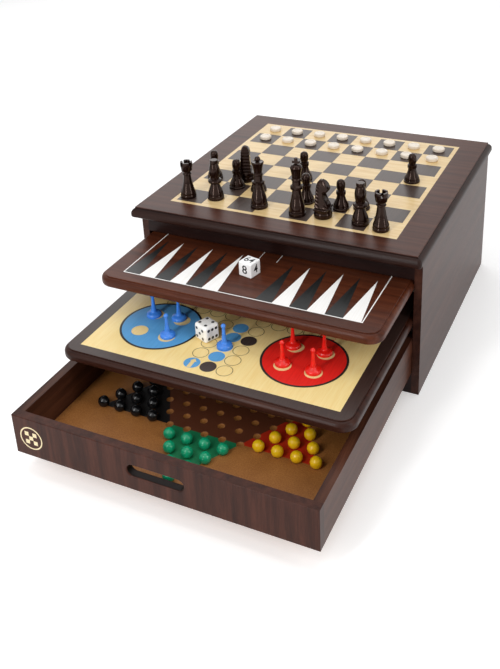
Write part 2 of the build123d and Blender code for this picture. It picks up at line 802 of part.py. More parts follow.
ludo_pawn_profile = [
    (Polyline, [(0.96, 0.0), (1.0, 0.03), (1.0, 0.09)]),
    (Spline, [(0.86, 0.15), (0.54, 0.19), (0.38, 0.23)]),
    (Spline, [(0.29, 0.40), (0.23, 0.60), (0.20, 0.80)]),
    (Polyline, [(0.20, 0.90), (0, 0.90)]),
]
ludo_pawn_head = 0.31 * ludo_pawn_base / 2
with BuildPart() as ludo_pawn:
    turned(ludo_pawn_profile, ludo_pawn_base / 2, ludo_pawn_height)
    with Locations((0, 0, ludo_pawn_height - ludo_pawn_head)):
        Sphere(ludo_pawn_head)


def home_spots(side_x, side_y):
    """The four standing spots of one home circle, left to right, front first."""
    x0 = side_x * home_offset_x
    y0 = ludo_centre_y + side_y * home_offset_y
    return [(x0 + i * spot_offset, y0 + j * spot_offset) for j in (-1, 1) for i in (-1, 1)]


# the blue and red men as they were set down: (x, distance in front of the case)
blue_men = [(-95.0, 91.5), (-67.5, 87.5), (-62.5, 119.0), (-1.5, 114.0)]
red_men = [(60.0, 89.0), (92.3, 88.5), (62.0, 118.5), (93.2, 119.0)]
ludo_men = {
    "ludo_pawns_blue": [(x, front - reach) for x, reach in blue_men],
    "ludo_pawns_red": [(x, front - reach) for x, reach in red_men],
    "ludo_pawns_green": home_spots(-1, 1),
    "ludo_pawns_yellow": home_spots(1, 1),
}
for name, spots in ludo_men.items():
    with BuildPart() as men:
        with Locations(*[(x, y, ludo_top) for x, y in spots]):
            add(ludo_pawn.part)
    save(men.part, name)

# a die with inlaid pips; each face lists its pips on a three by three grid
pip_grid = {
    1: [(0, 0)],
    2: [(-1, -1), (1, 1)],
    3: [(-1, -1), (0, 0), (1, 1)],
    4: [(-1, -1), (-1, 1), (1, -1), (1, 1)],
    5: [(-1, -1), (-1, 1), (0, 0), (1, -1), (1, 1)],
    6: [(-1, -1), (-1, 0), (-1, 1), (1, -1), (1, 0), (1, 1)],
}
half_die = die_size / 2
die_faces = {
    4: Plane(origin=(0, 0, half_die), x_dir=(1, 0, 0), z_dir=(0, 0, 1)),
    3: Plane(origin=(0, 0, -half_die), x_dir=(1, 0, 0), z_dir=(0, 0, -1)),
    5: Plane(origin=(0, -half_die, 0), x_dir=(1, 0, 0), z_dir=(0, -1, 0)),
    2: Plane(origin=(0, half_die, 0), x_dir=(1, 0, 0), z_dir=(0, 1, 0)),
    6: Plane(origin=(half_die, 0, 0), x_dir=(0, 0, 1), z_dir=(1, 0, 0)),
    1: Plane(origin=(-half_die, 0, 0), x_dir=(0, 1, 0), z_dir=(-1, 0, 0)),
}


def pip_cylinders(mode):
    """Shallow round plugs just inside each face of a die that is centred on the origin."""
    for pips, face in die_faces.items():
        for u, v in pip_grid[pips]:
            with BuildSketch(face) as pip:
                with Locations((u * pip_spacing, v * pip_spacing)):
                    Circle(pip_diameter / 2)
            extrude(pip.sketch, amount=-pip_depth, mode=mode)


with BuildPart() as die_body:
    Box(die_size, die_size, die_size)
    fillet(die_body.edges(), die_round)
    pip_cylinders(Mode.SUBTRACT)

with BuildPart() as die_plugs:
    pip_cylinders(Mode.ADD)

die_place = Location((die_x, front - die_reach, ludo_top + half_die), (0, 0, die_turn))
with BuildPart() as ludo_die:
    with Locations(die_place):
        add(die_body.part)
save(ludo_die.part, "ludo_die")

with BuildPart() as die_pips:
    with Locations(die_place):
        add(die_plugs.part)
save(die_pips.part, "die_pips")

# ---------------------------------------------------------------- doubling cube
cube_middle = backgammon_top + cube_size / 2
cube_place = Location((cube_x, front - cube_reach, cube_middle), (0, 0, cube_turn))
with BuildPart() as doubling_cube:
    with Locations(cube_place):
        Box(cube_size, cube_size, cube_size)
    fillet(doubling_cube.edges(), cube_round)
save(doubling_cube.part, "doubling_cube")
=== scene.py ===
from math import cos, pi, radians, sin, sqrt

import bmesh
import bpy
from bpy.props import FloatProperty, FloatVectorProperty, PointerProperty
from mathutils import Matrix, Vector


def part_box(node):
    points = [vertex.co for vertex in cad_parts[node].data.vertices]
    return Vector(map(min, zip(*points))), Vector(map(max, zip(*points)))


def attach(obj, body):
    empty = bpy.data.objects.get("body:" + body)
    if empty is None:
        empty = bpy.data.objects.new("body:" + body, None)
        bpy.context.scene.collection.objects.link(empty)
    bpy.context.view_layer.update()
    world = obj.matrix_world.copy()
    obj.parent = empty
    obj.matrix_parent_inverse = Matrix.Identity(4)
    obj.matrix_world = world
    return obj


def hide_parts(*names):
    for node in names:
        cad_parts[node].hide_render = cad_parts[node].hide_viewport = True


bl_info = {
    "name": "Games Compendium Box",
    "version": (1, 0, 0),
    "blender": (4, 5, 0),
    "location": "View3D > Sidebar > Games Box",
    "description": "Prints, finishes and studio for a wooden compendium of board games",
    "category": "Object",
}

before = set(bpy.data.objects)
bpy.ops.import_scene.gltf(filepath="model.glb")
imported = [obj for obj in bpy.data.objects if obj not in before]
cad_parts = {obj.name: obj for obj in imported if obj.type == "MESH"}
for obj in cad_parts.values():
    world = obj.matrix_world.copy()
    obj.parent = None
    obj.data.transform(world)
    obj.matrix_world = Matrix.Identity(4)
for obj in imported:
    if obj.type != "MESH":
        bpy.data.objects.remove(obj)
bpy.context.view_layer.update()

MM = 0.001
INK = 0.06 * MM  # how far a print stands above the board that carries it

# the Mix node's number and colour sockets share their names, so they go by index
NUMBER_A, NUMBER_B, COLOUR_A, COLOUR_B, COLOUR_OUT = 2, 3, 6, 7, 2


# ---------------- small helpers
def linear(hex_colour):
    """An sRGB hex colour as the linear RGBA that shader sockets take."""
    channels = [int(hex_colour[i:i + 2], 16) / 255 for i in (1, 3, 5)]
    curve = [c / 12.92 if c <= 0.04045 else ((c + 0.055) / 1.055) ** 2.4 for c in channels]
    return (*curve, 1.0)


def add_node(tree, kind, settings=(), links=()):
    """Add a node with its settings and its links.

    A setting is a property, "stops" for a ramp's (position, hex colour) pairs, or else the value
    of the input of that name or index. A link is an output, or a node for its first output.
    """
    made = tree.nodes.new(kind)
    for key, value in dict(settings).items():
        if key == "stops":
            elements = made.color_ramp.elements
            while len(elements) < len(value):
                elements.new(0.5)
            for element, (position, colour) in zip(elements, value):
                element.position = position
                element.color = linear(colour)
        elif isinstance(key, str) and hasattr(made, key):
            setattr(made, key, value)
        else:
            made.inputs[key].default_value = value
    for key, source in dict(links).items():
        output = source.outputs[0] if isinstance(source, bpy.types.Node) else source
        tree.links.new(output, made.inputs[key])
    return made


def new_material(name):
    """A material with an empty node tree, and that tree."""
    material = bpy.data.materials.new(name)
    material.use_nodes = True
    material.node_tree.nodes.clear()
    return material, material.node_tree


def cells(width, length, along):
    """How many marks, this wide and long in mm, fill a metre of x, y and z."""
    return [1 / (MM * (length if axis == along else width)) for axis in "XYZ"]


def set_material(material, *nodes):
    """Give CAD nodes this material on every slot."""
    for name in nodes:
        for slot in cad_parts[name].material_slots:
            slot.material = material


def add_piece(name, body, mesh):
    """A new object that rides on a body."""
    piece = bpy.data.objects.new(name, mesh)
    bpy.context.collection.objects.link(piece)
    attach(piece, body)
    return piece


def mesh_piece(name, body, verts, faces, material):
    """A new piece made from points and faces."""
    mesh = bpy.data.meshes.new(name)
    mesh.from_pydata(verts, [], faces)
    mesh.materials.append(material)
    return add_piece(name, body, mesh)


def flat_faces(outlines, bands):
    """Points and faces of filled outlines, and of bands between an inner and an outer one."""
    points, faces = [], []
    for inner, outer in bands:
        start, count = len(points), len(inner)
        points += inner + outer
        for k in range(count):
            n = (k + 1) % count
            faces.append((start + k, start + n, start + count + n, start + count + k))
    for outline in outlines:
        faces.append(range(len(points), len(points) + len(outline)))
        points += outline
    return points, faces


def print_flat(name, body, z, ink, outlines=(), bands=()):
    """Print shapes on a board whose top is at z, from (x, y) points in metres."""
    points, faces = flat_faces(outlines, bands)
    mesh_piece(name, body, [(x, y, z) for x, y in points], faces, ink)


def circle(x, y, radius, count=48):
    """Points of a circle, counter-clockwise."""
    return [
        (x + radius * cos(2 * pi * k / count), y + radius * sin(2 * pi * k / count))
        for k in range(count)
    ]


def rectangle(x0, x1, y0, y1):
    """Corners of a rectangle, counter-clockwise."""
    return [(x0, y0), (x1, y0), (x1, y1), (x0, y1)]


def ring(x, y, outer, width, count=48):
    """Inner and outer outlines of a round line."""
    return circle(x, y, outer - width, count), circle(x, y, outer, count)


# ---------------- sizes and colours
slab_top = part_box("top_slab")[1].z
drawer_floor_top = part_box("drawer_floor")[1].z
sheet_low, sheet_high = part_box("chessboard_sheet")
tray_low, tray_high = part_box("backgammon_tray")
ludo_low, ludo_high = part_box("ludo_sheet")
ludo_tray_low, ludo_tray_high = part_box("ludo_tray")
front_low, front_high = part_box("drawer_front")
cube_low, cube_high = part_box("doubling_cube")


class BoardSizes(bpy.types.PropertyGroup):
    """Sizes of what is printed on the boards"""

    chess_border: FloatProperty(
        name="Chessboard border", description="Pale margin round the squares",
        default=5 * MM, unit="LENGTH",
    )
    point_length: FloatProperty(
        name="Point length", description="Length of a backgammon point",
        default=75.5 * MM, unit="LENGTH",
    )
    bar_width: FloatProperty(
        name="Bar width", description="Clear strip between the backgammon board's halves",
        default=40 * MM, unit="LENGTH",
    )
    line_width: FloatProperty(
        name="Line width", description="White line round the backgammon board",
        default=1.1 * MM, unit="LENGTH",
    )
    cell_pitch: FloatProperty(
        name="Ludo pitch", description="From one track circle to the next",
        default=17.3 * MM, unit="LENGTH",
    )
    home_radius: FloatProperty(
        name="Home radius", description="Radius of a ludo home circle",
        default=42 * MM, unit="LENGTH",
    )
    star_half: FloatProperty(
        name="Star half width", description="From the star's middle to its hexagon's side",
        default=65.5 * MM, unit="LENGTH",
    )
    emblem_radius: FloatProperty(
        name="Emblem radius", description="Radius of the round emblem on the drawer",
        default=12.5 * MM, unit="LENGTH",
    )


class BoxColours(bpy.types.PropertyGroup):
    """Colours of the stain and the studio"""

    wood_tint: FloatVectorProperty(
        name="Wood tint", description="Multiplies the stained wood's colour",
        default=(1.0, 1.0, 1.0), subtype="COLOR", min=0.0, max=2.0,
    )
    floor_colour: FloatVectorProperty(
        name="Studio floor", description="Colour of the floor under the box",
        default=(0.95, 0.95, 0.95), subtype="COLOR", min=0.0, max=1.0,
    )


# ---------------- finishes
def stained_rubberwood(use, along, dark, middle, light, roughness=0.34):
    """Planed rubberwood and its veneer, stained dark and sprayed with satin lacquer."""
    # the stain gathers in the pores, so they read as fine dark lines in long soft streaks, and
    # the film dips over them, which breaks up its satin sheen
    material, tree = new_material("stained_rubberwood_" + use)
    place = add_node(tree, "ShaderNodeTexCoord").outputs["Object"]
    # real pores are 0.2 mm wide; they are drawn at 0.5 mm, so that they show
    streak_cells, pore_cells = (
        add_node(
            tree, "ShaderNodeMapping", {"Scale": cells(width, length, along)}, {"Vector": place}
        )
        for width, length in ((9, 160), (0.5, 12))
    )
    streaks = add_node(
        tree, "ShaderNodeTexNoise",
        {"Scale": 1.0, "Detail": 5.0, "Roughness": 0.6, "Distortion": 0.35},
        {"Vector": streak_cells},
    )
    pores = add_node(
        tree, "ShaderNodeTexNoise", {"Scale": 1.0, "Detail": 2.0, "Roughness": 0.55},
        {"Vector": pore_cells},
    )
    grain = add_node(
        tree, "ShaderNodeMix", {"data_type": "FLOAT", "Factor": 0.28},
        {NUMBER_A: streaks, NUMBER_B: pores},
    )
    stain = add_node(
        tree, "ShaderNodeValToRGB", {"stops": [(0.34, dark), (0.5, middle), (0.66, light)]},
        {"Fac": grain},
    )
    tint = (*bpy.context.scene.box_colours.wood_tint, 1.0)
    tinted = add_node(
        tree, "ShaderNodeMix",
        {"data_type": "RGBA", "blend_type": "MULTIPLY", "Factor": 1.0, COLOUR_B: tint},
        {COLOUR_A: stain},
    )
    sheen = add_node(
        tree, "ShaderNodeMapRange", {"To Min": roughness - 0.05, "To Max": roughness + 0.08},
        {"Value": pores},
    )
    relief = add_node(
        tree, "ShaderNodeBump", {"Distance": 0.06 * MM, "Strength": 0.35}, {"Height": pores}
    )
    # lacquer has an IOR of 1.5, but this thin worn film shines as little as 1.25 does
    shader = add_node(
        tree, "ShaderNodeBsdfPrincipled", {"IOR": 1.25},
        {"Base Color": tinted.outputs[COLOUR_OUT], "Roughness": sheen, "Normal": relief},
    )
    add_node(tree, "ShaderNodeOutputMaterial", links={"Surface": shader})
    return material


def planed_wood(name, along, dark, light, roughness=0.6):
    """Pine or beech, planed and left without a film."""
    # bare fibres scatter the light, so it is dull, with straight grain lines that stand proud
    material, tree = new_material(name)
    place = add_node(tree, "ShaderNodeTexCoord").outputs["Object"]
    grain_cells = add_node(
        tree, "ShaderNodeMapping", {"Scale": cells(1.5, 50, along)}, {"Vector": place}
    )
    grain = add_node(
        tree, "ShaderNodeTexNoise", {"Scale": 1.0, "Detail": 4.0, "Roughness": 0.55},
        {"Vector": grain_cells},
    )
    colour = add_node(
        tree, "ShaderNodeValToRGB", {"stops": [(0.3, dark), (0.7, light)]}, {"Fac": grain}
    )
    relief = add_node(
        tree, "ShaderNodeBump", {"Distance": 0.08 * MM, "Strength": 0.4}, {"Height": grain}
    )
    shader = add_node(
        tree, "ShaderNodeBsdfPrincipled", {"Roughness": roughness},
        {"Base Color": colour, "Normal": relief},
    )
    add_node(tree, "ShaderNodeOutputMaterial", links={"Surface": shader})
    return material


def maple_veneer(use, along, dark, light, roughness=0.32):
    """Sliced maple veneer, pressed flat and lacquered."""
    # slicing leaves fine lines in faint broad bands, and the pressed face is smooth, so the
    # satin film lies even and the board looks pale and clean
    material, tree = new_material("maple_veneer_" + use)
    place = add_node(tree, "ShaderNodeTexCoord").outputs["Object"]
    # real lines are 0.3 mm wide; they are drawn at 0.9 mm, so that they show
    band_cells, line_cells = (
        add_node(
            tree, "ShaderNodeMapping", {"Scale": cells(width, length, along)}, {"Vector": place}
        )
        for width, length in ((4, 60), (0.9, 20))
    )
    bands = add_node(
        tree, "ShaderNodeTexNoise",
        {"Scale": 1.0, "Detail": 3.0, "Roughness": 0.55, "Distortion": 0.3},
        {"Vector": band_cells},
    )
    lines = add_node(
        tree, "ShaderNodeTexNoise", {"Scale": 1.0, "Detail": 2.0, "Roughness": 0.55},
        {"Vector": line_cells},
    )
    grain = add_node(
        tree, "ShaderNodeMix", {"data_type": "FLOAT", "Factor": 0.5},
        {NUMBER_A: bands, NUMBER_B: lines},
    )
    colour = add_node(
        tree, "ShaderNodeValToRGB", {"stops": [(0.36, dark), (0.62, light)]}, {"Fac": grain}
    )
    sheen = add_node(
        tree, "ShaderNodeMapRange", {"To Min": roughness - 0.04, "To Max": roughness + 0.05},
        {"Value": lines},
    )
    shader = add_node(
        tree, "ShaderNodeBsdfPrincipled", {"IOR": 1.4}, {"Base Color": colour, "Roughness": sheen}
    )
    add_node(tree, "ShaderNodeOutputMaterial", links={"Surface": shader})
    return material


def screen_ink(use, colour, shade, roughness=0.36):
    """Ink, screen-printed on wood under the lacquer."""
    # it covers evenly with sharp edges, and the grain below shows only as a faint change of shade
    material, tree = new_material("screen_ink_" + use)
    place = add_node(tree, "ShaderNodeTexCoord").outputs["Object"]
    # the grain's real lines are 0.3 mm wide; they are drawn at 1.2 mm, so that they show
    grain_cells = add_node(
        tree, "ShaderNodeMapping", {"Scale": cells(1.2, 30, "Y")}, {"Vector": place}
    )
    grain = add_node(
        tree, "ShaderNodeTexNoise", {"Scale": 1.0, "Detail": 3.0, "Roughness": 0.55},
        {"Vector": grain_cells},
    )
    cover = add_node(
        tree, "ShaderNodeValToRGB", {"stops": [(0.32, shade), (0.6, colour)]}, {"Fac": grain}
    )
    sheen = add_node(
        tree, "ShaderNodeMapRange", {"To Min": roughness - 0.04, "To Max": roughness + 0.06},
        {"Value": grain},
    )
    shader = add_node(
        tree, "ShaderNodeBsdfPrincipled", {"IOR": 1.38}, {"Base Color": cover, "Roughness": sheen}
    )
    add_node(tree, "ShaderNodeOutputMaterial", links={"Surface": shader})
    return material


def moulded_plastic(name, colour, shade, roughness=0.2, glow=0.0, ior=1.55, tint="#FFFFFF"):
    """Polystyrene or urea, dyed through and injection-moulded in polished steel."""
    # the polished mould gives an even colour and sharp highlights, with faint 4 mm flow marks
    material, tree = new_material(name)
    place = add_node(tree, "ShaderNodeTexCoord").outputs["Object"]
    flow = add_node(
        tree, "ShaderNodeTexNoise", {"Scale": 1 / (4 * MM), "Detail": 2.0, "Roughness": 0.55},
        {"Vector": place},
    )
    dye = add_node(
        tree, "ShaderNodeValToRGB", {"stops": [(0.3, shade), (0.7, colour)]}, {"Fac": flow}
    )
    gloss = add_node(
        tree, "ShaderNodeMapRange", {"To Min": roughness - 0.04, "To Max": roughness + 0.04},
        {"Value": flow},
    )
    settings = {"IOR": ior, "Specular Tint": linear(tint)}
    if glow:
        # bright dye lets a little light through thin stems
        settings |= {
            "Subsurface Weight": glow, "Subsurface Scale": 1.0,
            "Subsurface Radius": (4 * MM, 4 * MM, 4 * MM),
        }
    shader = add_node(
        tree, "ShaderNodeBsdfPrincipled", settings, {"Base Color": dye, "Roughness": gloss}
    )
    add_node(tree, "ShaderNodeOutputMaterial", links={"Surface": shader})
    return material


def nickelled_wire(name, colour, roughness=0.28):
    """Steel wire, drawn and nickel-plated."""
    # drawing leaves fine lines along the wire, which stretch its bright highlights
    material, tree = new_material(name)
    place = add_node(tree, "ShaderNodeTexCoord").outputs["Object"]
    # real drawing marks are under 0.1 mm wide; they are drawn at 0.4 mm, so that they show
    mark_cells = add_node(
        tree, "ShaderNodeMapping", {"Scale": cells(0.4, 4, "Y")}, {"Vector": place}
    )
    marks = add_node(
        tree, "ShaderNodeTexNoise", {"Scale": 1.0, "Detail": 2.0, "Roughness": 0.55},
        {"Vector": mark_cells},
    )
    sheen = add_node(
        tree, "ShaderNodeMapRange", {"To Min": roughness - 0.08, "To Max": roughness + 0.1},
        {"Value": marks},
    )
    shader = add_node(
        tree, "ShaderNodeBsdfPrincipled", {"Base Color": linear(colour), "Metallic": 1.0},
        {"Roughness": sheen},
    )
    add_node(tree, "ShaderNodeOutputMaterial", links={"Surface": shader})
    return material


def triangle_mask(tree, place, sign, half):
    """1 inside the star's triangle that points along -Y (sign 1) or +Y (sign -1)."""
    reach = None
    for turn in (90, 210, 330):
        normal = (sign * cos(radians(turn)), sign * sin(radians(turn)), 0.0)
        along = add_node(
            tree, "ShaderNodeVectorMath", {"operation": "DOT_PRODUCT", 1: normal}, {0: place}
        ).outputs["Value"]
        if reach is None:
            reach = along
        else:
            reach = add_node(
                tree, "ShaderNodeMath", {"operation": "MAXIMUM"}, {0: reach, 1: along}
            )
    return add_node(tree, "ShaderNodeMath", {"operation": "LESS_THAN", 1: half}, {0: reach})


def printed_hardboard(name, middle_x, middle_y, top_z, half):
    """Tempered hardboard, pressed from oiled wood fibre and screen-printed with the star."""
    # matted fibres give a brown speckle in soft clouds and a dull sheen, and the dimples, bored
    # after printing, show the bare board
    print_depth = 0.15 * MM
    material, tree = new_material(name)
    place = add_node(tree, "ShaderNodeTexCoord").outputs["Object"]
    # real fibres are 0.3 mm wide; they are drawn at 1.1 mm, so that they show
    fibres = add_node(
        tree, "ShaderNodeTexNoise", {"Scale": 1 / (1.1 * MM), "Detail": 4.0, "Roughness": 0.7},
        {"Vector": place},
    )
    clouds = add_node(
        tree, "ShaderNodeTexNoise", {"Scale": 1 / (30 * MM), "Detail": 3.0, "Roughness": 0.55},
        {"Vector": place},
    )
    speckle = add_node(
        tree, "ShaderNodeMix", {"data_type": "FLOAT", "Factor": 0.75},
        {NUMBER_A: clouds, NUMBER_B: fibres},
    )
    board = add_node(
        tree, "ShaderNodeValToRGB",
        {"stops": [(0.32, "#7E4D22"), (0.5, "#9C6430"), (0.68, "#B37A40")]}, {"Fac": speckle},
    )
    centred = add_node(
        tree, "ShaderNodeVectorMath",
        {"operation": "SUBTRACT", 1: (middle_x, middle_y, 0.0)}, {0: place},
    )
    down = triangle_mask(tree, centred, 1, half)
    up = triangle_mask(tree, centred, -1, half)
    parts = add_node(tree, "ShaderNodeSeparateXYZ", links={0: centred})
    right, left, back, dimple = (
        add_node(tree, "ShaderNodeMath", {"operation": test, 1: limit}, {0: parts.outputs[axis]})
        for axis, test, limit in (
            ("X", "GREATER_THAN", half / sqrt(3)), ("X", "LESS_THAN", -half / sqrt(3)),
            ("Y", "GREATER_THAN", half), ("Z", "LESS_THAN", top_z - print_depth),
        )
    )
    surface = board
    # each print's colour and its masks: the front point's whole triangle first, then the other
    # points, and the hexagon over the middle
    for colour, *masks in (
        ("#14764B", down), ("#B8290F", up, right), ("#070404", up, left), ("#C9A227", up, back),
        ("#1F4E9C", down, right), ("#D8D2C4", down, left), ("#5C2F1A", down, up),
    ):
        inside = masks[0]
        for mask in masks[1:]:
            inside = add_node(
                tree, "ShaderNodeMath", {"operation": "MULTIPLY"}, {0: inside, 1: mask}
            )
        surface = add_node(
            tree, "ShaderNodeMix", {"data_type": "RGBA", COLOUR_B: linear(colour)},
            {"Factor": inside, COLOUR_A: surface},
        ).outputs[COLOUR_OUT]
    bored = add_node(
        tree, "ShaderNodeMix", {"data_type": "RGBA"},
        {"Factor": dimple, COLOUR_A: surface, COLOUR_B: board},
    )
    relief = add_node(
        tree, "ShaderNodeBump", {"Distance": 0.05 * MM, "Strength": 0.4}, {"Height": fibres}
    )
    shader = add_node(
        tree, "ShaderNodeBsdfPrincipled", {"Roughness": 0.5},
        {"Base Color": bored.outputs[COLOUR_OUT], "Normal": relief},
    )
    add_node(tree, "ShaderNodeOutputMaterial", links={"Surface": shader})
    return material


def paint_shade_into(wood, mask, colour, blend_type="MIX"):
    """Blend a painted shade colour into a stained wood's own colour where mask is 1."""
    tree = wood.node_tree
    shader = next(node for node in tree.nodes if node.type == "BSDF_PRINCIPLED")
    surface = shader.inputs["Base Color"]
    stained = add_node(
        tree, "ShaderNodeMix",
        {"data_type": "RGBA", "blend_type": blend_type, COLOUR_B: linear(colour)},
        {"Factor": mask, COLOUR_A: surface.links[0].from_socket},
    )
    tree.links.new(stained.outputs[COLOUR_OUT], surface)


# ---------------- operators
class GAMES_OT_case(bpy.types.Operator):
    """Stain and lacquer the case, its slab and its runners"""

    bl_idname = "games.case"
    bl_label = "Case"

    def execute(self, context):
        slab = stained_rubberwood("slab", "X", "#31180F", "#45261C", "#543226", 0.36)
        self.paint_edge_shade(slab)
        set_material(slab, "top_slab")
        sides = stained_rubberwood("sides", "Y", "#28120C", "#3A1E15", "#4A2B20")
        set_material(sides, "side_panel_left", "side_panel_right")
        back = stained_rubberwood("back", "Z", "#28120C", "#3A1C14", "#48271C")
        set_material(back, "back_panel")
        # all three rails get a stain far darker than the rest of the case: painted shade, for the
        # shadow under the slab's overhang
        shaded_rails = stained_rubberwood("shaded_rails", "X", "#130706", "#1E0D0A", "#291511")
        set_material(shaded_rails, "top_rail", "bottom_rail", "top_back_rail")
        set_material(planed_wood("stained_pine_base", "X", "#3A2118", "#573727"), "base_board")
        runners = planed_wood("stained_pine_runners", "Y", "#24120D", "#3C231B", 0.5)
        for support in (
            "drawer_runner", "ludo_runner", "ludo_keeper", "backgammon_runner",
            "backgammon_keeper",
        ):
            set_material(runners, support + "_left", support + "_right")
        set_material(planed_wood("beech_case_dowels", "X", "#B08A5C", "#D2B083"), "case_dowels")
        nickel = nickelled_wire("nickelled_wire", "#D9D2C8")
        set_material(nickel, "rail_tacks", "slab_screws", "back_panel_brads")
        return {"FINISHED"}

    def paint_edge_shade(self, wood):
        """Painted shade: all of the slab more than 0.6 mm under its top face, shaped edge
        included, is darkened by a grey multiply.
        """
        tree = wood.node_tree
        face_depth = 0.6 * MM
        place = add_node(tree, "ShaderNodeTexCoord").outputs["Object"]
        parts = add_node(tree, "ShaderNodeSeparateXYZ", links={0: place})
        below = add_node(
            tree, "ShaderNodeMath", {"operation": "LESS_THAN", 1: slab_top - face_depth},
            {0: parts.outputs["Z"]},
        )
        paint_shade_into(wood, below, "#948984", "MULTIPLY")


class GAMES_OT_chessboard(bpy.types.Operator):
    """Lay the pale veneer and print the dark squares of the chessboard"""

    bl_idname = "games.chessboard"
    bl_label = "Chessboard"

    def execute(self, context):
        border = context.scene.board_sizes.chess_border
        veneer = maple_veneer("chessboard", "X", "#D6B47A", "#E8CC98")
        set_material(veneer, "chessboard_sheet")
        ink = screen_ink("dark_square", "#453731", "#372A25")
        x0, y0 = sheet_low.x + border, sheet_low.y + border
        square = (sheet_high.x - sheet_low.x - 2 * border) / 8
        squares = [
            rectangle(
                x0 + f * square, x0 + (f + 1) * square, y0 + r * square, y0 + (r + 1) * square
            )
            for f in range(8) for r in range(8) if (f + r) % 2 == 0
        ]
        print_flat("dark_squares", "case", sheet_high.z + INK, ink, squares)
        return {"FINISHED"}


class GAMES_OT_backgammon(bpy.types.Operator):
    """Finish the backgammon tray and print its points, border and bar lines"""

    bl_idname = "games.backgammon"
    bl_label = "Backgammon tray"

    def execute(self, context):
        sizes = context.scene.board_sizes
        wood = stained_rubberwood("backgammon_tray", "X", "#351608", "#4D2414", "#5F321D")
        set_material(wood, "backgammon_tray")
        black = screen_ink("black_point", "#1A1B1B", "#121313")
        white = screen_ink("white_point", "#FFFEFC", "#FAF8F4")
        line, z = sizes.line_width, tray_high.z + INK
        half, depth = 130 * MM, 256 * MM
        front = tray_low.y + 18 * MM
        back = front + depth
        border = (
            rectangle(-half + line, half - line, front + line, back - line),
            rectangle(-half, half, front, back),
        )
        self.lay("backgammon_border", z, white, bands=[border])
        bar_side, side_gap, abreast = sizes.bar_width / 2, 0.5 * MM, 6
        width = (half - line - bar_side - side_gap) / abreast
        starts = [left + k * width for left in (-half + line, bar_side) for k in range(abreast)]
        black_points, white_points = [], []
        # reach is 1 for the points that rise from the front and -1 for those from the back
        for base, reach in ((front + line, 1), (back - line, -1)):
            for k, x in enumerate(starts):
                tip = (x + width / 2, base + reach * sizes.point_length)
                corners = [(x, base), (x + width, base), tip][::reach]
                points = black_points if (k % 2 == 0) == (reach == 1) else white_points
                points.append(corners)
        self.lay("black_points", z, black, black_points)
        self.lay("white_points", z, white, white_points)
        aside, short_by = 10.3 * MM, 74.5 * MM
        bar_lines = [
            rectangle(x - line / 3, x + line / 3, front + short_by, back - short_by)
            for x in (-aside, aside)
        ]
        self.lay("bar_lines", z, white, bar_lines)
        return {"FINISHED"}

    def lay(self, name, z, ink, outlines=(), bands=()):
        """Print filled outlines or bands on the backgammon tray."""
        print_flat(name, "backgammon_tray", z, ink, outlines, bands)


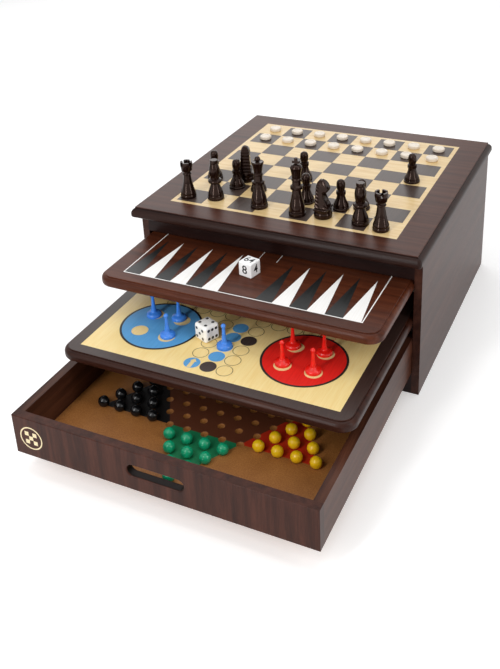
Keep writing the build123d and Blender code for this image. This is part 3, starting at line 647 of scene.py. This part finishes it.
class GAMES_OT_ludo(bpy.types.Operator):
    """Finish the ludo tray and print its homes, track and border"""

    bl_idname = "games.ludo"
    bl_label = "Ludo tray"

    # the way each colour's home lies from the board's middle, and the way its arm runs
    homes = {"blue": (-1, -1), "red": (1, -1), "green": (-1, 1), "yellow": (1, 1)}
    arms = {"blue": (0, -1), "red": (1, 0), "yellow": (0, 1), "green": (-1, 0)}

    def execute(self, context):
        sizes = context.scene.board_sizes
        pitch = sizes.cell_pitch
        # a far darker copy of the trays' stain than the backgammon tray's: painted shade, for the
        # sides that lie under the backgammon tray
        wood = stained_rubberwood("ludo_tray", "X", "#1F0D09", "#30170F", "#3F2218")
        set_material(wood, "ludo_tray")
        field = maple_veneer("ludo", "Y", "#F0D18A", "#F5DC9B")
        set_material(field, "ludo_sheet")
        inks = {
            use: screen_ink(use, colour, shade) for use, colour, shade in (
                ("blue", "#5B9FD4", "#5397CC"), ("red", "#E2261F", "#D6201A"),
                ("green", "#2F9A58", "#298C4F"), ("yellow", "#EDC22E", "#E2B626"),
                ("dark", "#2E2826", "#231E1D"), ("cream", "#EBD196", "#E2C585"),
                ("cell", "#403532", "#362C29"), ("border", "#3A2924", "#30211D"),
            )
        }
        z = ludo_high.z + INK
        first_row, aside = 14.6 * MM, -1 * MM  # the track's place on the field
        middle = Vector((aside, ludo_low.y + first_row + 6 * pitch))
        self.border(z, inks["border"])
        self.print_homes(middle, sizes.home_radius, z, inks)
        self.print_track(middle, pitch, z, inks)
        self.arrows(middle, pitch, z + INK, inks["cream"])
        return {"FINISHED"}

    def lay(self, name, z, ink, outlines=(), bands=()):
        """Print filled outlines or bands on the ludo tray."""
        print_flat(name, "ludo_tray", z, ink, outlines, bands)

    def border(self, z, ink):
        """The printed border, from the field out to the tray's moulded step."""
        step, back_gap, corner = 4.6 * MM, 0.3 * MM, 11.4 * MM
        outer = rounded_tray_outline(
            ludo_tray_low.x + step, ludo_tray_high.x - step,
            ludo_tray_low.y + step, ludo_tray_high.y - back_gap, corner,
        )
        inner = rectangle_matching(outer, ludo_low, ludo_high)
        self.lay("ludo_border", z, ink, bands=[(inner, outer)])

    def print_homes(self, middle, radius, z, inks):
        """Four round homes, each with a dark line and four pale stands."""
        home_x, home_y = 78.4 * MM, 60.2 * MM
        line, overlap = 2.2 * MM, 1.0 * MM
        stand_aside, stand_radius = 15.6 * MM, 8.6 * MM
        fine = 96
        for colour, (sx, sy) in self.homes.items():
            cx, cy = sx * home_x, middle.y + sy * home_y
            # the homes are printed over the ends of the track's side arms
            disc = circle(cx, cy, radius - overlap, fine)
            self.lay(colour + "_home", z + 2 * INK, inks[colour], [disc])
            edge = ring(cx, cy, radius, line, fine)
            self.lay(colour + "_home_line", z + 3 * INK, inks["dark"], bands=[edge])
            stands = [
                circle(cx + i * stand_aside, cy + j * stand_aside, stand_radius)
                for i in (-1, 1) for j in (-1, 1)
            ]
            self.lay(colour + "_stands", z + 3 * INK, inks["cream"], stands)

    def print_track(self, middle, pitch, z, inks):
        """The track's circles: three rows on each arm and four at the middle's corners."""
        spot, line = 8.1 * MM, 0.5 * MM
        fills = {colour: [] for colour in (*self.homes, "cell")}
        rings = []
        for colour, (ux, uy) in self.arms.items():
            last = self.arm_length(ux)
            for step_out in range(2, last + 1):
                for aside in (-1, 0, 1):
                    # aside is to the left of the arm, looking out from the middle
                    x = middle.x + pitch * (ux * step_out + uy * aside)
                    y = middle.y + pitch * (uy * step_out - ux * aside)
                    kind = self.cell_kind(step_out, aside, last)
                    if kind == "open":
                        rings.append(ring(x, y, spot, line))
                    else:
                        fills["cell" if kind == "dark" else colour].append(circle(x, y, spot))
        for x, y in rectangle(-pitch, pitch, -pitch, pitch):
            rings.append(ring(middle.x + x, middle.y + y, spot, line))
        for colour, spots in fills.items():
            self.lay(colour + "_spots", z, inks[colour], spots)
        self.lay("track_lines", z + INK, inks["dark"], bands=rings)

    def arm_length(self, ux):
        """Circles from the middle to an arm's end; the two side arms are one circle shorter."""
        return 6 if ux == 0 else 5

    def cell_kind(self, step_out, aside, last):
        """Whether a track circle is in the arm's own colour, dark or open."""
        if aside == 0:
            return "dark" if step_out == last else "own"
        if step_out == last and aside == 1:
            return "own"
        return "dark" if (step_out, aside, last) == (3, -1, 6) else "open"

    def arrows(self, middle, pitch, z, ink):
        """A pale arrow on each arm's starting circle, pointing in along the arm."""
        # the arrow's outline in mm, with its tip along +Y
        shape = [
            (-2.0, -7.7), (2.0, -7.7), (2.0, 2.4), (3.6, 2.4), (0, 6.8), (-3.6, 2.4), (-2.0, 2.4),
        ]
        outlines = []
        for ux, uy in self.arms.values():
            last = self.arm_length(ux)
            x = middle.x + pitch * (ux * last + uy)
            y = middle.y + pitch * (uy * last - ux)
            outlines.append([
                (x + MM * (-uy * px - ux * py), y + MM * (ux * px - uy * py))
                for px, py in shape
            ])
        self.lay("arrows", z, ink, outlines)


def rounded_tray_outline(x0, x1, y0, y1, radius, steps=8):
    """A tray's top: square at the back, rounded at the two front corners."""
    points = []
    for cx, start in ((x0 + radius, 180), (x1 - radius, 270)):
        for k in range(steps + 1):
            a = radians(start + 90 * k / steps)
            points.append((cx + radius * cos(a), y0 + radius + radius * sin(a)))
    return points + [(x1, y1), (x0, y1)]


def rectangle_matching(outline, low, high):
    """A rectangle with as many points as outline, each at the corner nearest to it."""
    middle_y = (low.y + high.y) / 2
    return [(low.x if x < 0 else high.x, low.y if y < middle_y else high.y) for x, y in outline]


class GAMES_OT_drawer(bpy.types.Operator):
    """Finish the drawer, print the star on its floor and the emblem on its front"""

    bl_idname = "games.drawer"
    bl_label = "Drawer"

    def execute(self, context):
        sizes = context.scene.board_sizes
        front = stained_rubberwood("drawer_front", "Z", "#26110C", "#3B1E15", "#4E2A1F")
        self.paint_slot_shade(front)
        set_material(front, "drawer_front")
        stain = ("#2D150E", "#45261A", "#5A3525")
        sides = stained_rubberwood("drawer_sides", "Y", *stain)
        set_material(sides, "drawer_side_left", "drawer_side_right")
        set_material(stained_rubberwood("drawer_back", "X", *stain), "drawer_back")
        dowels = planed_wood("beech_drawer_dowels", "Y", "#B08A5C", "#D2B083")
        set_material(dowels, "drawer_dowels")
        # the star's middle is halfway between the marbles in its opposite points
        left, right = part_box("marbles_black")[0].x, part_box("marbles_yellow")[1].x
        near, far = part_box("marbles_green")[0].y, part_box("marbles_red")[1].y
        floor = printed_hardboard(
            "printed_hardboard", (left + right) / 2, (near + far) / 2, drawer_floor_top,
            sizes.star_half,
        )
        set_material(floor, "drawer_floor")
        self.emblem(sizes.emblem_radius)
        return {"FINISHED"}

    def paint_slot_shade(self, wood):
        """Painted shade: the inside of the finger slot is blended to nearly black, for the shade
        in the recess.
        """
        tree = wood.node_tree
        middle = (front_low + front_high) / 2
        place = add_node(tree, "ShaderNodeTexCoord").outputs["Object"]
        centred = add_node(
            tree, "ShaderNodeVectorMath", {"operation": "SUBTRACT", 1: tuple(middle)}, {0: place}
        )
        reach = add_node(tree, "ShaderNodeVectorMath", {"operation": "ABSOLUTE"}, {0: centred})
        parts = add_node(tree, "ShaderNodeSeparateXYZ", links={0: reach})
        # half of the slot's length, of the front's thickness inside its soft edges, and of the
        # slot's height
        along, through, upright = (
            add_node(
                tree, "ShaderNodeMath", {"operation": "LESS_THAN", 1: half},
                {0: parts.outputs[axis]},
            )
            for axis, half in (("X", 30 * MM), ("Y", 3.4 * MM), ("Z", 7.5 * MM))
        )
        inside = along
        for mask in (through, upright):
            inside = add_node(
                tree, "ShaderNodeMath", {"operation": "MULTIPLY"}, {0: inside, 1: mask}
            )
        # the painted shade inside the slot
        paint_shade_into(wood, inside, "#150A07")

    def emblem(self, radius):
        """A cream ring round a small chequer, printed on the left of the drawer's front."""
        ink = screen_ink("cream_emblem", "#EAD9B0", "#DFCBA0")
        from_middle, line, cell = 132.7 * MM, 1.3 * MM, 0.36 * radius
        cx, cz = -from_middle, (front_low.z + front_high.z) / 2
        y = front_low.y - INK
        chequer = [
            rectangle(
                cx + (i - 0.5) * cell, cx + (i + 0.5) * cell,
                cz + (j - 0.5) * cell, cz + (j + 0.5) * cell,
            )
            for i in (-1, 0, 1) for j in (-1, 0, 1) if (i + j) % 2 == 0
        ]
        points, faces = flat_faces(chequer, [ring(cx, cz, radius, line)])
        mesh_piece("emblem", "drawer", [(x, y, z) for x, z in points], faces, ink)


class GAMES_OT_men(bpy.types.Operator):
    """Finish the chessmen, draughtsmen, ludo pawns, marbles, die and cube"""

    bl_idname = "games.men"
    bl_label = "Playing pieces"

    def execute(self, context):
        # the chessmen are dipped in dark lacquer after moulding: wet, with narrow warm highlights
        chess = moulded_plastic(
            "lacquered_polystyrene", "#1C0D08", "#130805", 0.09, ior=1.35, tint="#FFDCCD"
        )
        for kind in ("king", "queen", "bishops", "knights", "rooks", "pawns"):
            set_material(chess, "chess_" + kind)
        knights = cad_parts["chess_knights"]
        self.soften(knights)
        self.carve(knights)
        self.turn_rooks(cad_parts["chess_rooks"], chess)
        cream = moulded_plastic("cream_polystyrene", "#EADFD0", "#E0D2C0", 0.34)
        set_material(cream, "draughtsmen")
        for colour, light, dark in (
            ("blue", "#4288E4", "#3878D2"), ("red", "#EA1D14", "#D41610"),
            ("green", "#1F9A4C", "#198541"), ("yellow", "#F0C323", "#DDB01A"),
        ):
            plastic = moulded_plastic(colour + "_polystyrene", light, dark, 0.25, 0.10, 1.45)
            set_material(plastic, "ludo_pawns_" + colour)
        for colour, light, dark in (
            ("black", "#141416", "#0D0D0F"), ("green", "#17A676", "#0F8E64"),
            ("yellow", "#FFD21C", "#F6C00C"), ("red", "#CE1F1A", "#B51713"),
            ("blue", "#2559BE", "#1C4AA5"), ("white", "#EEECE6", "#E0DDD4"),
        ):
            plastic = moulded_plastic(colour + "_marble_polystyrene", light, dark, ior=1.42)
            set_material(plastic, "marbles_" + colour)
        set_material(moulded_plastic("die_urea", "#F8F7F4", "#F0EEEA"), "ludo_die")
        set_material(moulded_plastic("cube_urea", "#FFFFFF", "#FAFAFA"), "doubling_cube")
        black = moulded_plastic("pip_enamel", "#17171A", "#101012", 0.3)
        set_material(black, "die_pips")
        self.numbers(black)
        return {"FINISHED"}

    def soften(self, knights):
        """Round the horses' heads as a mould's draft and polish leave them."""
        skin = knights.modifiers.new("even_skin", "REMESH")
        skin.mode = "VOXEL"
        skin.voxel_size = 0.4 * MM
        skin.use_smooth_shade = True
        polish = knights.modifiers.new("polish", "SMOOTH")
        polish.factor = 0.6
        polish.iterations = 20

    def carve(self, knights):
        """Cut locks of mane and the stepped chest into the horses, as their mould has them."""
        cut, pitch, slant = 0.32 * MM, 4 * MM, 0.5
        uncut, fade = 2 * MM, 3 * MM  # the flanks stay plain, and cuts deepen away from them
        plinth, poll, throat = 0.27, 0.90, 0.50  # shares of the height
        foot_height = 3 * MM
        graph = bpy.context.evaluated_depsgraph_get()
        mesh = bpy.data.meshes.new_from_object(knights.evaluated_get(graph))
        low, high = (Vector(corner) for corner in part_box("chess_knights"))
        tall, parting = high.z - low.z, (low.x + high.x) / 2
        normals = [vertex.normal.copy() for vertex in mesh.vertices]
        # turn is the way each horse faces, from +X
        for side, turn in ((-1, radians(110)), (1, 0.0)):
            own = [v for v in mesh.vertices if (v.co.x - parting) * side > 0]
            foot = [v.co for v in own if v.co.z < low.z + foot_height]
            middle = sum(foot, Vector()) / len(foot)
            ahead = Vector((cos(turn), sin(turn), 0.0))
            for vertex in own:
                reach = (vertex.co - middle).dot(ahead)
                share = (vertex.co.z - low.z) / tall
                # locks run from the plinth to the poll, chest steps only up to the throat
                if not plinth < share < (poll if reach < 0 else throat):
                    continue
                weight = min(1.0, max(0.0, (abs(reach) - uncut) / fade))
                phase = 2 * pi * (vertex.co.z + slant * reach) / pitch
                depth = cut * weight * (0.5 - 0.5 * cos(phase))
                vertex.co -= normals[vertex.index] * depth
        carved = add_piece("carved_knights", "chessmen", mesh)
        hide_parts("chess_knights")

    def turn_rooks(self, rooks, lacquer):
        """Rooks with the lathe's collars and a crown of four merlons."""
        # shares of the foot's radius and of the height, up the outside and down into the well
        profile = [
            (0.0, 0.0), (0.94, 0.0), (1.0, 0.015), (1.0, 0.075), (0.95, 0.095), (0.93, 0.105),
            (0.96, 0.12), (0.95, 0.15), (0.88, 0.19), (0.85, 0.20), (0.84, 0.215), (0.76, 0.27),
            (0.65, 0.36), (0.56, 0.46), (0.50, 0.56), (0.46, 0.63), (0.45, 0.64), (0.58, 0.655),
            (0.60, 0.67), (0.56, 0.685), (0.48, 0.695), (0.48, 0.73), (0.60, 0.745),
            (0.66, 0.755), (0.69, 0.775), (0.72, 0.84), (0.77, 0.885), (0.78, 0.90), (0.78, 0.985),
            (0.77, 1.0), (0.55, 1.0), (0.54, 0.985), (0.52, 0.88), (0.51, 0.87), (0.0, 0.865),
        ]
        around, merlons, gap, gap_floor = 96, 4, 7, 0.90
        hard_edge, same_point = radians(50), 0.001 * MM
        low, high = (Vector(corner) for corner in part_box("chess_rooks"))
        parting = (low.x + high.x) / 2
        verts, faces = [], []
        # each stands as it was put down: one with a merlon to the front, one with a gap
        for side, start in ((-1, radians(-32)), (1, radians(-77))):
            own = [v.co for v in rooks.data.vertices if (v.co.x - parting) * side > 0]
            x0, x1 = min(p.x for p in own), max(p.x for p in own)
            y0, y1 = min(p.y for p in own), max(p.y for p in own)
            foot_radius = (x1 - x0) / 2
            first = len(verts)
            for step in range(around):
                angle = start + 2 * pi * step / around
                in_gap = step % (around // merlons) < gap
                for reach, rise in profile:
                    if in_gap:
                        rise = min(rise, gap_floor)
                    verts.append((
                        (x0 + x1) / 2 + foot_radius * reach * cos(angle),
                        (y0 + y1) / 2 + foot_radius * reach * sin(angle),
                        low.z + (high.z - low.z) * rise,
                    ))
            for step in range(around):
                here = first + step * len(profile)
                there = first + (step + 1) % around * len(profile)
                faces += [
                    (here + k, there + k, there + k + 1, here + k + 1)
                    for k in range(len(profile) - 1)
                ]
        piece = mesh_piece("turned_rooks", "chessmen", verts, faces, lacquer)
        shell = bmesh.new()
        shell.from_mesh(piece.data)
        bmesh.ops.remove_doubles(shell, verts=shell.verts, dist=same_point)
        for face in shell.faces:
            face.smooth = True
        for edge in shell.edges:
            edge.smooth = edge.calc_face_angle(0.0) < hard_edge
        shell.to_mesh(piece.data)
        shell.free()
        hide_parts("chess_rooks")

    def numbers(self, ink):
        """The doubling cube's six numbers, printed on its faces."""
        centre = (cube_low + cube_high) / 2
        edge = cube_high.z - cube_low.z
        # shares of the cube's edge: the height of one figure and of two, and how bold they are
        one_figure, two_figures, bold = 0.82, 0.74, 0.010
        close_set = 0.95
        placed = Matrix.Translation(centre) @ Matrix.Rotation(radians(-12.8), 4, "Z")
        lift = Matrix.Translation((0, 0, edge / 2 + INK))
        stood_up = Matrix.Rotation(pi / 2, 4, "X")
        faces = {
            "64": Matrix.Identity(4),
            "8": stood_up,
            "4": Matrix.Rotation(pi / 2, 4, "Z") @ stood_up,
            "16": Matrix.Rotation(pi, 4, "Z") @ stood_up,
            "32": Matrix.Rotation(-pi / 2, 4, "Z") @ stood_up,
            "2": Matrix.Rotation(pi, 4, "X"),
        }
        for text, face in faces.items():
            curve = bpy.data.curves.new("number_" + text, "FONT")
            curve.body = text
            curve.align_x, curve.align_y = "CENTER", "CENTER"
            curve.size = (one_figure if len(text) == 1 else two_figures) * edge
            curve.offset = bold * edge
            curve.space_character = close_set
            lettering = bpy.data.objects.new("number_" + text, curve)
            bpy.context.collection.objects.link(lettering)
            bpy.context.view_layer.update()
            mesh = bpy.data.meshes.new_from_object(lettering)
            bpy.data.objects.remove(lettering)
            mesh.transform(placed @ face @ lift)
            mesh.materials.clear()
            mesh.materials.append(ink)
            add_piece("cube_number_" + text, "doubling_cube", mesh)


class GAMES_OT_studio(bpy.types.Operator):
    """Set the floor, the soft lamps, the pale world and the camera"""

    bl_idname = "games.studio"
    bl_label = "Studio"

    def execute(self, context):
        context.scene.view_settings.view_transform = "Standard"
        self.floor(context.scene.box_colours.floor_colour)
        self.lamps()
        self.world(context.scene)
        self.camera(context.scene)
        return {"FINISHED"}

    def floor(self, colour):
        """Seamless studio paper: matt and pale, and it keeps the box's shadow."""
        # a little light of its own keeps it white to the eye while it lights the box less
        far, below = 6.0, 0.2 * MM
        material, tree = new_material("studio_paper")
        glow = add_node(
            tree, "ShaderNodeMapRange", {"To Min": 0.05, "To Max": 0.30},
            {"Value": self.seen_rays(tree)},
        )
        shader = add_node(
            tree, "ShaderNodeBsdfPrincipled",
            {"Base Color": (*colour, 1.0), "Roughness": 0.9, "Emission Color": (1, 1, 1, 1)},
            {"Emission Strength": glow},
        )
        add_node(tree, "ShaderNodeOutputMaterial", links={"Surface": shader})
        mesh = bpy.data.meshes.new("studio_floor")
        corners = [(x, y, -below) for x, y in rectangle(-far, far, -far, far)]
        mesh.from_pydata(corners, [], [(0, 1, 2, 3)])
        mesh.materials.append(material)
        ground = bpy.data.objects.new("studio_floor", mesh)
        bpy.context.collection.objects.link(ground)

    def lamps(self):
        """Two tall narrow boxes in front, a wide one behind on the left and one overhead."""
        centre = Vector((0.0, -0.1, 0.08))
        for name, place, width, height, power in (
            ("key_lamp", (-0.30, -1.35, 0.75), 0.19, 1.5, 11.5),
            ("right_lamp", (1.30, -0.45, 0.70), 0.18, 1.4, 6.0),
            ("back_lamp", (-0.95, 1.55, 1.05), 1.5, 1.1, 7.6),
            ("top_lamp", (0.10, 0.10, 1.90), 1.4, 1.4, 9.0),
        ):
            light = bpy.data.lights.new(name, "AREA")
            light.shape = "RECTANGLE"
            light.size, light.size_y, light.energy = width, height, power
            lamp = bpy.data.objects.new(name, light)
            lamp.location = place
            lamp.rotation_euler = (centre - Vector(place)).to_track_quat("-Z", "Y").to_euler()
            lamp.visible_camera = False
            bpy.context.collection.objects.link(lamp)

    def world(self, scene):
        """Even pale surroundings: dimmer on the box than they look to the eye and in gloss."""
        surroundings = bpy.data.worlds.new("pale_surroundings")
        surroundings.use_nodes = True
        tree = surroundings.node_tree
        tree.nodes.clear()
        strength = add_node(
            tree, "ShaderNodeMapRange", {"To Min": 0.40, "To Max": 1.0},
            {"Value": self.seen_rays(tree)},
        )
        light = add_node(
            tree, "ShaderNodeBackground", {"Color": (1, 1, 1, 1)}, {"Strength": strength}
        )
        add_node(tree, "ShaderNodeOutputWorld", links={"Surface": light})
        scene.world = surroundings

    def seen_rays(self, tree):
        """1 on rays from the eye, in gloss and through glass, 0 on the rest."""
        path = add_node(tree, "ShaderNodeLightPath")
        seen = path.outputs["Is Camera Ray"]
        for ray in ("Is Glossy Ray", "Is Transmission Ray"):
            seen = add_node(
                tree, "ShaderNodeMath", {"operation": "MAXIMUM"}, {0: seen, 1: path.outputs[ray]}
            )
        return seen

    def camera(self, scene):
        """A camera above the front right corner, looking down at the open box."""
        place = Vector((0.3545, -0.8917, 0.5843))
        yaw, pitch, roll = radians(26.6143), radians(23.1612), radians(-2.7354)
        focal_length, frame_height = 884.1236, 669.0  # both in the render's pixels
        ahead = Vector((-sin(yaw) * cos(pitch), cos(yaw) * cos(pitch), -sin(pitch)))
        right = Vector((cos(yaw), sin(yaw), 0.0))
        up = right.cross(ahead)
        side = cos(roll) * right + sin(roll) * up
        top = -sin(roll) * right + cos(roll) * up
        turn = Matrix((side, top, -ahead)).transposed().to_4x4()
        data = bpy.data.cameras.new("camera")
        data.sensor_width = 36.0
        data.lens = focal_length * data.sensor_width / frame_height
        data.shift_x, data.shift_y = -0.0060, -0.2459
        data.clip_start, data.clip_end = 0.01, 50.0
        camera = bpy.data.objects.new("camera", data)
        camera.matrix_world = Matrix.Translation(place) @ turn
        bpy.context.collection.objects.link(camera)
        scene.camera = camera


class GAMES_PT_panel(bpy.types.Panel):
    """Shows the box's sizes and colours and a button for each step"""

    bl_idname = "GAMES_PT_panel"
    bl_label = "Games Box"
    bl_space_type = "VIEW_3D"
    bl_region_type = "UI"
    bl_category = "Games Box"

    def draw(self, context):
        for group in (context.scene.board_sizes, context.scene.box_colours):
            for name in group.__annotations__:
                self.layout.prop(group, name)
        for step in STEPS:
            self.layout.operator(step.bl_idname)


STEPS = (
    GAMES_OT_case, GAMES_OT_chessboard, GAMES_OT_backgammon, GAMES_OT_ludo,
    GAMES_OT_drawer, GAMES_OT_men, GAMES_OT_studio,
)
CLASSES = (BoardSizes, BoxColours, *STEPS, GAMES_PT_panel)


def register():
    """Register the classes and hang the sizes and colours on the scene."""
    for cls in CLASSES:
        bpy.utils.register_class(cls)
    bpy.types.Scene.board_sizes = PointerProperty(type=BoardSizes)
    bpy.types.Scene.box_colours = PointerProperty(type=BoxColours)


def unregister():
    """Take the classes and the scene's sizes and colours away again."""
    del bpy.types.Scene.box_colours
    del bpy.types.Scene.board_sizes
    for cls in reversed(CLASSES):
        bpy.utils.unregister_class(cls)


def main():
    """Dress the frame piece by piece."""
    register()
    for step in STEPS:
        area, name = step.bl_idname.split(".")
        getattr(getattr(bpy.ops, area), name)()


if __name__ == "__main__":
    main()
